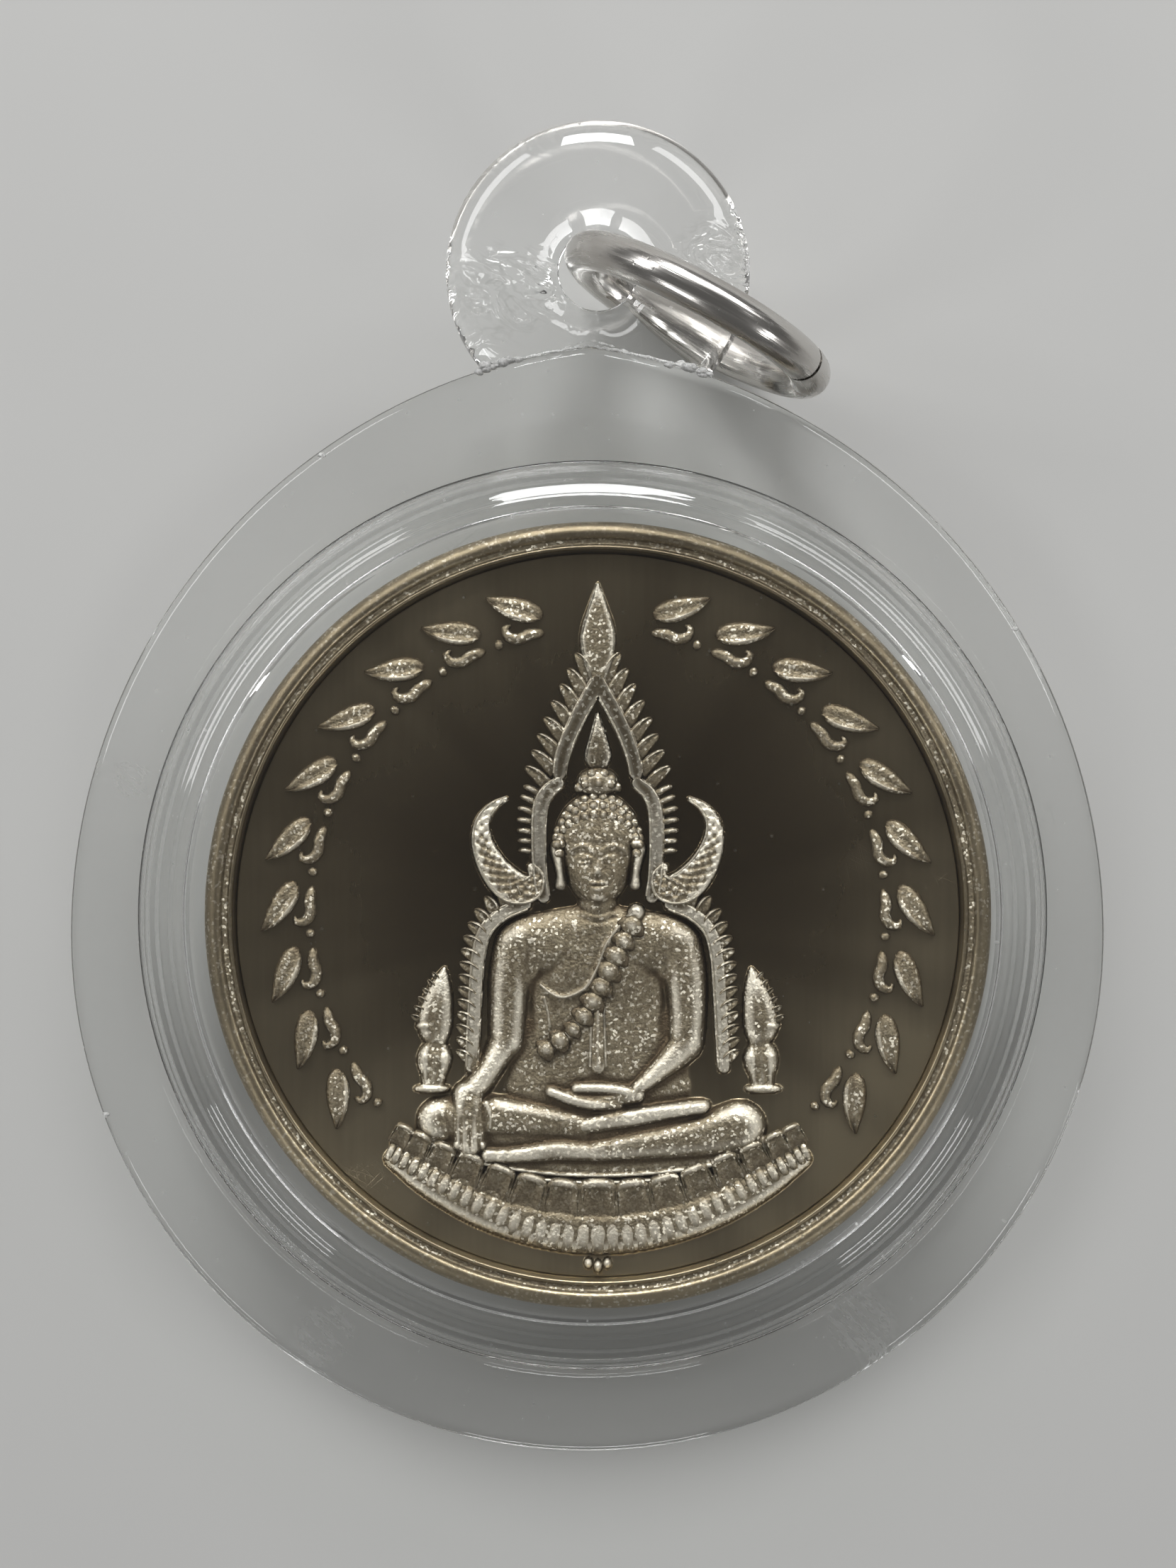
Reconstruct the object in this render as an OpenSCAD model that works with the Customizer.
// Temple medal with a seated figure, sealed in a clear acrylic case with a loop disc and a jump ring.
// The pendant lies on its back window: X to the right, Y towards the loop, Z out of the medal's face.
// The origin is on the axis of the round window, on the outer face of the back window. Millimetres.

/* [Medal] */
// Diameter of the struck medal
medal_d = 30; // [24:0.5:36]
// Thickness of the medal over its rims
medal_t = 2.7; // [2.2:0.1:3.6]
// Width of the rolled outer part of the rim
rim_roll = 0.6; // [0.4:0.05:1]
// Distance from the rim's crest to the thin inner ridge
rim_channel = 0.45; // [0.3:0.05:0.8]
// How deep the field lies under the rim's crest
field_depth = 0.85; // [0.6:0.05:1]
// How deep the plain field of the back lies under its rim
back_depth = 0.4; // [0.2:0.05:0.6]
// Greatest height of the relief over the field
relief_h = 0.8; // [0.4:0.05:0.9]
// How far the medal has settled to the right in its pocket
medal_shift = 0.2; // [0:0.05:0.3]

/* [Case] */
// Free space round the medal's edge
pocket_gap = 0.5; // [0.35:0.05:1]
// Free space over and under the medal
pocket_play = 0.15; // [0.1:0.05:0.4]
// Thickness of each window
window_t = 2; // [1.5:0.1:3]
// Wall between the pocket and the foot of the raised window
dome_wall = 1.75; // [1.2:0.05:3]
// Radius of the raised window's rounded shoulder
shoulder_r = 1.9; // [0.6:0.1:2.1]
// Width of the flat flange outside the raised window
flange_w = 2.5; // [1.5:0.1:5]
// Thickness of the flange on each shell
flange_t = 1.3; // [0.8:0.1:2]
// Radius of the flange's rounded edge
edge_r = 0.35; // [0.1:0.05:0.6]
// How far the flange's round part sits below the window's axis
flange_drop = 0.72; // [0:0.02:1.4]
// How far the flange's round part sits to the left of the window's axis
flange_shift = 0.2; // [0:0.05:0.5]
// How far the flange's point rises above its round part
roof_rise = 2.7; // [1.5:0.1:4]
// Seam between glued acrylic faces
bond = 0.04; // [0.02:0.01:0.1]

/* [Loop disc] */
// Diameter of the loop disc
loop_d = 11.66; // [9.6:0.1:14]
// Greatest thickness of the loop disc
loop_t = 3; // [2.4:0.1:3.2]
// Diameter of its hole
loop_hole_d = 3; // [2.9:0.1:3.6]
// Radius of its crowned faces
loop_crown_r = 3.5; // [3:0.1:3.8]
// How deep the disc's circle reaches below the flange's point
loop_sink = 2.95; // [2:0.05:3.5]
// How far the disc sits to the right of the window's axis
loop_shift = 0.2; // [0:0.05:0.5]

/* [Jump ring] */
// Thickness of the ring's wire
wire_d = 1.6; // [1.2:0.05:1.65]
// Outer diameter of the ring
ring_od = 11.3; // [11.2:0.1:12.5]
// Direction in which the ring has flopped over
ring_turn = -28.5; // [-31:0.5:-20]
// How far the ring leans out of its upright plane
ring_lean = -7; // [-8:0.5:-5]
// Width of the slit where the wire's ends meet
slit_w = 0.14; // [0.05:0.01:0.4]
// Where the slit is, up from the ring's far end
slit_at = 27; // [10:1:60]

/* [Hidden] */

// Medal
medal_r = medal_d / 2;
crest_r = medal_r - rim_roll;
ridge_r = crest_r - rim_channel;
ridge_foot = 0.12;
field_r = ridge_r - ridge_foot;
channel_depth = 0.2;
ridge_drop = 0.1;
edge_bevel = 0.45;
seat_gap = 0.05;
blank_fn = 60;

// Case
pocket_r = medal_r + pocket_gap;
pocket_h = medal_t + 2 * pocket_play;
case_t = pocket_h + 2 * window_t;
mid_z = case_t / 2;
dome_r = pocket_r + dome_wall;
dome_rise = mid_z - flange_t;
shoulder = min(shoulder_r, dome_rise);
flange_r = dome_r + flange_w;
roof_h = flange_r + roof_rise;
arch_r = (flange_r * flange_r + roof_h * roof_h) / (2 * flange_r);
arch_x = arch_r - flange_r;
flange_x = -flange_shift;
flange_y = -flange_drop;
roof_y = flange_y + roof_h;

// Loop disc
loop_r = loop_d / 2;
hole_r = loop_hole_d / 2;
loop_y = roof_y + loop_r - loop_sink;
loop_mid_r = (loop_r + hole_r) / 2;

// Jump ring: it stands on the floor at its lowest point, and its wire crosses the hole near the hole's axis
wire_r = wire_d / 2;
ring_r = ring_od / 2 - wire_r;
floor_gap = 0.03;
ring_z = ring_r * cos(ring_lean) + wire_r + floor_gap;
ring_up = (ring_z - mid_z) / cos(ring_lean);
wire_past_axis = 0.19;
ring_reach = sqrt(ring_r * ring_r - ring_up * ring_up) - wire_past_axis;
ring_side = 0.3;
slit_angle = slit_w / ring_r * 180 / PI;

// Relief: places and radii are in hundredths of the field's radius, heights in hundredths of relief_h
u = field_r / 100;
v = relief_h / 100;
boss_fn = 9;
small_fn = 6;
bead_fn = 5;
curl_fn = 4;

// Reads a polyline at the share t of its length counted in rows
function along(path, t) =
    let (s = t * (len(path) - 1), i = min(floor(s), len(path) - 2), f = s - i)
    path[i] * (1 - f) + path[i + 1] * f;

// Outer edge of the aureole from its point down to the shoulder: x, y
aureole_edge = [
    [-3.5, 64.6], [-5.6, 59], [-7.6, 54.5], [-9.5, 50], [-11.6, 45], [-13, 40.5], [-14.6, 36.5],
    [-16.6, 33.4], [-18, 30.4], [-18.6, 27.2], [-18.8, 24.2], [-18.8, 21.4], [-18.6, 18.6], [-18.2, 15.8]
];
// Middle of the aureole's band: x, y, radius, height
aureole_band = [
    [0, 63.5, 2.6, 40], [-4.4, 57, 2.4, 38], [-8, 50, 2.2, 38], [-10.8, 42.5, 2.2, 38],
    [-11.3, 36.8, 2, 38], [-14.8, 33, 2.2, 38], [-17.2, 28, 2.2, 38], [-17.4, 18, 2.2, 38],
    [-15.5, 6, 2.2, 36]
];
// Band that runs down behind the shoulder and the arm: x, y, radius, height
lower_band = [
    [-20, 3.4, 1.8, 34], [-29.4, -2, 2, 34], [-33, -10, 2, 34], [-34.2, -22, 2, 34], [-34.6, -33, 2, 34],
    [-35, -42, 1.8, 34]
];
// Crescent scroll beside the head: x, y, radius, height
scroll = [
    [-25, 32.2, 0.7, 28], [-30.4, 28.4, 1.5, 34], [-32.2, 20.6, 2.8, 40], [-28.8, 12, 4.1, 44],
    [-22.6, 7, 4.4, 44], [-17.6, 9.4, 2.6, 38], [-19.2, 13.4, 0.9, 32]
];
// Leaf on the aureole's point and flame over the topknot: x, y, radius, height
finial = [[0, 90.4, 0.6, 34], [0, 77, 5.1, 46], [0, 67, 1.8, 44]];
crown_flame = [[0, 54, 0.6, 30], [0, 45, 3.9, 34]];

// Flames along a line: how many, first and last lean, first and last length, radius, height
aureole_flames = [12, 114, 158, 7.8, 4.2, 1.9, 36];
lower_flames = [8, 110, 158, 4.6, 4.4, 1.8, 34];
flame_tip = [0.35, 0.7];
flame_foot = [-1.4, 1];

// Side leaves: x, y, radius, height
side_leaf = [[-42.8, -15.6, 0.6, 26], [-44.6, -26, 4.4, 42], [-45.2, -34, 1.7, 36]];
side_scroll = [[-45.2, -38.6, 2.6, 40], [-45, -43, 4.1, 42], [-43.4, -48.6, 1.5, 34]];

// The figure: x, y, radius, height in each row, and each row is joined to the next
chest = [[-15, -8, 11.5, 58], [15, -8, 11.5, 58]];
trunk = [[0, -9, 17, 64], [0, -26, 14, 56], [0, -42, 15, 52]];
neck = [[0, 4, 5.6, 58], [0, -2, 8, 54]];
open_arm = [[-20.5, -9.5, 8.2, 62], [-24.3, -20, 6.4, 62], [-25, -33, 5.4, 62]];
open_forearm = [[-25.2, -34.5, 5, 62], [-30, -41.5, 4.4, 74], [-34.6, -48, 3.9, 84]];
open_palm = [[-34.8, -49, 4.1, 84], [-35.6, -55, 4.8, 88], [-35.6, -61, 4, 82]];
open_thumb = [[-31, -50.5, 1.4, 84], [-30.6, -57.5, 1.2, 80]];
open_finger = [[-38.6, -53, 1.1, 94], [-38.2, -63.6, 1, 86]];
finger_step = [[2, 0, 0, 0], [1.8, 0, 0, 0]];
fingers = 4;
lap_arm = [[20.5, -9.5, 8.2, 62], [23.8, -20, 6.4, 62], [24.3, -33, 5.4, 62]];
lap_forearm = [[24, -35.5, 5.2, 64], [17.4, -42, 4.3, 72], [10.6, -47.8, 3.2, 76]];
lap_palm = [[9, -49.6, 2.9, 76], [2.6, -50.6, 2.5, 76], [-2, -50.8, 2, 74]];
lap_fingers = [[3, -51.2, 1.9, 78], [-5, -51.2, 1.6, 78], [-12.4, -49, 1.2, 74]];
lap_thumb = [[7, -48.6, 1.5, 84], [0, -47.9, 1.3, 84], [-5.6, -47.9, 1.2, 82]];
back_thigh = [[-43.2, -56, 6.9, 80], [-30, -55.8, 6, 76], [-12, -57.4, 4.8, 66], [-3.6, -58.6, 3.8, 60]];
front_shin = [[39.2, -58.4, 7.7, 90], [25, -60, 6.2, 88], [8, -63, 4.3, 82], [-1, -65, 3, 76]];
upper_foot = [[-3.4, -57, 2.6, 66], [6, -55.2, 2.5, 80], [16, -53.7, 2.1, 84], [30, -53, 1.4, 84]];
lower_foot = [[0, -65, 2.9, 78], [-10, -64.6, 2.7, 78], [-22, -65.6, 2.1, 74], [-30.6, -66.6, 1.4, 72]];

// Head: x, y, half width, half height, height
hair_cap = [0, 21.6, 12.8, 12.7, 74];
topknot = [0, 37, 6.2, 4.6, 70];
face = [0, 14.6, 10.7, 11.5, 90];
chin = [0, 5.6, 2.4, 1.8, 88];
eyelid = [-4.7, 14.6, 2.6, 1.2, 99];

// Nose, mouth, brow and ear: x, y, radius, height
nose = [[0, 17.6, 0.8, 94], [0, 11.4, 1.5, 106]];
mouth = [[-2.5, 8.1, 0.5, 92], [0, 7.8, 0.9, 98], [2.5, 8.1, 0.5, 92]];
brow = [[-1.6, 17.2, 0.6, 100], [-4.8, 18.6, 0.7, 97], [-8.3, 17, 0.6, 82]];
ear = [[-12.5, 20.4, 1.5, 60], [-13, 14.4, 1.2, 58], [-12.4, 8.2, 1.4, 56]];

// Rows of curls over the brow: distance from the hair cap's middle, angle between two curls, height
curl_rows = [[5.4, 27, 88], [8.4, 21, 82], [11.4, 18.5, 76]];
curl_r = 1.6;
// Rows of curls on the topknot: step between two curls, height of the row, fall to the sides, height
knot_rows = [[2.4, 39.4, 0.5, 76], [2.7, 36.2, 0.4, 84]];
knot_r = 1.3;

// Robe: the edge across the chest, the string of bosses along the sash and the hanging end
robe_edge = [
    [9.6, 1.4, 1.1, 76], [4.6, -5.6, 1.1, 80], [-1.4, -17.4, 1.1, 78], [-5.6, -21.2, 1.1, 74],
    [-10.4, -22.2, 1.1, 72], [-15.4, -19.8, 1, 66]
];
sash = [[11.6, 0], [7.4, -8.6], [2.7, -16.6], [-2, -25], [-7.6, -32.6], [-14.8, -37.8]];
sash_beads = 12;
sash_bead = [1.7, 88];
sash_end = [[0, -27, 2.1, 76], [0, -40.4, 2.3, 74]];

// Lotus seat: two rows of petals on one boat-shaped core
seat_line = [[-46, -64.4, 1.1, 48], [-30, -69, 1.2, 52], [-15, -71.2, 1.2, 54], [0, -72, 1.2, 54]];
seat_core = [[-50, -66.4, 3.4, 34], [-38, -73, 5.4, 38], [-20, -79.6, 7.8, 40], [0, -82.6, 9.4, 42]];
petals = 6;
petal_turn = 10.8;
petal_span = 58;
// Each row of petals: lowest point, rise of its ends, how far the petals reach, height
upper_petals = [-77.4, 15.4, -3.6, 58];
lower_petals = [-91, 28, 4.6, 50];
petal_taper = [0.985, 0.9, 0.85];
// Small bud under the seat: x, y, radius, height
bud = [[-2.4, -96.7, 1.1, 30], [0, -97.4, 1.1, 30], [2.4, -96.7, 1.1, 30]];

// Running leaf border: where each arc starts, how far it goes and its motifs
border_r = 86.5;
border_arcs = [[105, 110], [75, -111]];
border_motifs = 10;
border_leaf = [[-4.2, -1.6, 2.4, 40], [0.6, 1.4, 2.9, 46], [5.4, 5, 0.7, 30]];
border_curl = [[-3.4, -5.4, 1, 32], [0.8, -5.4, 1.3, 38], [3.4, -3, 1, 32]];
border_bead = [5.8, -5.4, 1.1, 36];

// One rounded boss of the relief
module boss(b, fn = boss_fn) {
    translate([b[0] * u, b[1] * u, 0])
        scale([b[2] * u, b[2] * u, b[3] * v])
            sphere(1, $fn = fn);
}

// One oval boss: x, y, half width, half height, height
module oval(b, fn = boss_fn) {
    translate([b[0] * u, b[1] * u, 0])
        scale([b[2] * u, b[3] * u, b[4] * v])
            sphere(1, $fn = fn);
}

// A limb of the relief, each row joined to the next
module limb(rows, fn = boss_fn) {
    for (i = [0 : len(rows) - 2]) hull() {
        boss(rows[i], fn);
        boss(rows[i + 1], fn);
    }
}

// Children, and the same mirrored to the other side
module both_sides() {
    children();
    mirror([1, 0, 0]) children();
}

// Flames that stand on a line, from one row of the flames' numbers
module flames(line, row) {
    count = row[0];
    r = row[5];
    h = row[6];
    for (i = [0 : count - 1]) {
        t = i / (count - 1);
        foot = along(line, t);
        a = row[1] + (row[2] - row[1]) * t;
        l = row[3] + (row[4] - row[3]) * t;
        hull() {
            boss([foot[0], foot[1], r, h], small_fn);
            boss([foot[0] + l * cos(a), foot[1] + l * sin(a), r * flame_tip[0], h * flame_tip[1]], bead_fn);
        }
    }
}

module aureole() {
    hull() for (b = finial) boss(b, small_fn);
    hull() for (b = crown_flame) boss(b, small_fn);
    both_sides() {
        limb(aureole_band, small_fn);
        flames(aureole_edge, aureole_flames);
        limb(lower_band, small_fn);
        flames([for (b = lower_band) [b[0], b[1]] + flame_foot], lower_flames);
        limb(scroll, small_fn);
        limb(side_leaf, small_fn);
        limb(side_scroll, small_fn);
    }
}

module head() {
    oval(hair_cap, 16);
    oval(topknot, 12);
    oval(face, 16);
    oval(chin, small_fn);
    limb(nose, small_fn);
    limb(mouth, bead_fn);
    both_sides() {
        limb(ear, bead_fn);
        limb(brow, bead_fn);
        oval(eyelid, small_fn);
    }
    for (row = [0 : len(curl_rows) - 1], i = [-3 - row : 3 + row]) {
        c = curl_rows[row];
        a = 90 - i * c[1];
        boss([hair_cap[0] + c[0] * cos(a), hair_cap[1] + c[0] * sin(a), curl_r, c[2]], curl_fn);
    }
    for (k = knot_rows, i = [-2 : 2]) boss([k[0] * i, k[1] - k[2] * abs(i), knot_r, k[3]], curl_fn);
}

module body_figure() {
    limb(chest);
    limb(trunk);
    limb(neck);
    limb(open_arm);
    limb(open_forearm);
    limb(open_palm);
    limb(open_thumb, small_fn);
    for (i = [0 : fingers - 1]) limb(open_finger + i * finger_step, bead_fn);
    limb(lap_arm);
    limb(lap_forearm);
    limb(lap_palm, small_fn);
    limb(lap_fingers, small_fn);
    limb(lap_thumb, small_fn);
    limb(back_thigh);
    limb(front_shin);
    limb(upper_foot, small_fn);
    limb(lower_foot, small_fn);
    limb(robe_edge, bead_fn);
    limb(sash_end, small_fn);
    for (i = [0 : sash_beads - 1]) {
        p = along(sash, i / (sash_beads - 1));
        boss([p[0], p[1], sash_bead[0], sash_bead[1] - i], small_fn);
    }
}

// One row of lotus petals on both sides of the seat's middle
module petal_row(row) {
    for (i = [0 : petals - 1]) {
        a = petal_turn * (i + 0.5);
        x = petal_span * sin(a);
        w = petal_span * (sin(a + petal_turn / 2) - sin(a - petal_turn / 2)) / 2;
        y = row[0] + row[1] * (x / petal_span) ^ 2;
        both_sides() hull() {
            boss([x, y, w, row[3]], small_fn);
            boss([x * petal_taper[0], y + row[2], w * petal_taper[1], row[3] * petal_taper[2]], small_fn);
        }
    }
}

module lotus_seat() {
    both_sides() {
        limb(seat_core, small_fn);
        limb(seat_line, bead_fn);
    }
    petal_row(upper_petals);
    petal_row(lower_petals);
    for (b = bud) boss(b, bead_fn);
}

// Turns a motif's row from along and across the border into x and y
function on_border(b, angle, way) =
    let (r = border_r + b[1], a = angle + way * b[0] / border_r * 180 / PI)
    [r * cos(a), r * sin(a), b[2], b[3]];

module leaf_border() {
    for (arc = border_arcs, i = [0 : border_motifs - 1]) {
        way = -sign(arc[1]);
        angle = arc[0] + arc[1] * i / (border_motifs - 1);
        hull() for (b = border_leaf) boss(on_border(b, angle, way), small_fn);
        hull() for (b = border_curl) boss(on_border(b, angle, way), bead_fn);
        boss(on_border(border_bead, angle, way), bead_fn);
    }
}

// Half of the blank's section, from the axis to the edge, with its field at the given depth
function face_line(depth) =
    let (top = medal_t / 2) [
        [0, top - depth], [field_r, top - depth], [ridge_r, top - ridge_drop],
        [ridge_r + ridge_foot, top - channel_depth], [crest_r - ridge_foot, top - channel_depth],
        [crest_r, top], [crest_r + rim_roll / 2, top - edge_bevel / 4], [medal_r, top - edge_bevel]
    ];

// The blank with a rolled rim, a channel and a thin inner ridge on both faces
module medal_blank() {
    back = face_line(back_depth);
    back_line = [for (i = [len(back) - 1 : -1 : 0]) [back[i][0], -back[i][1]]];
    rotate_extrude($fn = blank_fn) polygon(concat(face_line(field_depth), back_line));
}

module medal() {
    color("tan") translate([medal_shift, 0, window_t + seat_gap + medal_t / 2]) {
        medal_blank();
        translate([0, 0, medal_t / 2 - field_depth]) {
            aureole();
            lotus_seat();
            body_figure();
            head();
            leaf_border();
        }
    }
}

// A flat round plate with its upper edge rounded
module plate(r) {
    rotate_extrude($fn = 120) {
        square([r - edge_r, flange_t]);
        square([r, flange_t - edge_r]);
        translate([r - edge_r, flange_t - edge_r]) circle(edge_r, $fn = 32);
    }
}

// The flange of one shell: round below, and a pointed arch of two arcs above
module flange() {
    big = 3 * flange_r;
    translate([flange_x, flange_y, 0]) {
        intersection() {
            plate(flange_r);
            translate([-big / 2, -big, -1]) cube([big, big, flange_t + 2]);
        }
        intersection() {
            translate([-arch_x, 0, 0]) plate(arch_r);
            translate([arch_x, 0, 0]) plate(arch_r);
            translate([-big / 2, 0, -1]) cube([big, big, flange_t + 2]);
        }
    }
}

// The raised window with its rounded shoulder, above the middle plane
module raised_window() {
    rotate_extrude($fn = 120) {
        square([dome_r - shoulder, mid_z]);
        square([dome_r, mid_z - shoulder]);
        translate([dome_r - shoulder, mid_z - shoulder]) circle(shoulder, $fn = 64);
    }
}

// One shell, its glued face at z = bond / 2 above the middle plane
module shell() {
    difference() {
        union() {
            flange();
            raised_window();
        }
        translate([0, 0, -shoulder]) cylinder(h = mid_z - window_t + shoulder, r = pocket_r, $fn = 120);
        translate([0, 0, -shoulder]) cylinder(h = shoulder + bond / 2, r = 2 * arch_r, $fn = 120);
    }
}

module case_front() {
    color("whitesmoke", 0.35) translate([0, 0, mid_z]) shell();
}

module case_back() {
    color("whitesmoke", 0.35) translate([0, 0, mid_z]) mirror([0, 0, 1]) shell();
}

// Half of the loop disc's section: crowned faces and a full round outer edge
module loop_section() {
    intersection() {
        translate([loop_mid_r, loop_t / 2 - loop_crown_r]) circle(loop_crown_r, $fn = 90);
        translate([loop_mid_r, loop_crown_r - loop_t / 2]) circle(loop_crown_r, $fn = 90);
        union() {
            translate([hole_r, -loop_t / 2]) square([loop_r - loop_t / 2 - hole_r, loop_t]);
            translate([loop_r - loop_t / 2, 0]) circle(loop_t / 2, $fn = 64);
        }
    }
}

module loop_disc() {
    color("whitesmoke", 0.35) difference() {
        translate([loop_shift, loop_y, mid_z]) rotate_extrude($fn = 90) loop_section();
        intersection() {
            translate([flange_x - arch_x, flange_y, mid_z - loop_t])
                cylinder(h = 2 * loop_t, r = arch_r + bond, $fn = 120);
            translate([flange_x + arch_x, flange_y, mid_z - loop_t])
                cylinder(h = 2 * loop_t, r = arch_r + bond, $fn = 120);
        }
    }
}

module jump_ring() {
    color("silver")
        translate([loop_shift, loop_y, ring_z])
            rotate([0, 0, ring_turn])
                translate([ring_reach, ring_side, 0])
                    rotate([ring_lean, 0, 0])
                        rotate([90, 0, 0])
                            rotate([0, 0, slit_at + slit_angle / 2])
                                rotate_extrude(angle = 360 - slit_angle, $fn = 96)
                                    translate([ring_r, 0]) circle(wire_r, $fn = 32);
}

medal();
case_front();
case_back();
loop_disc();
jump_ring();
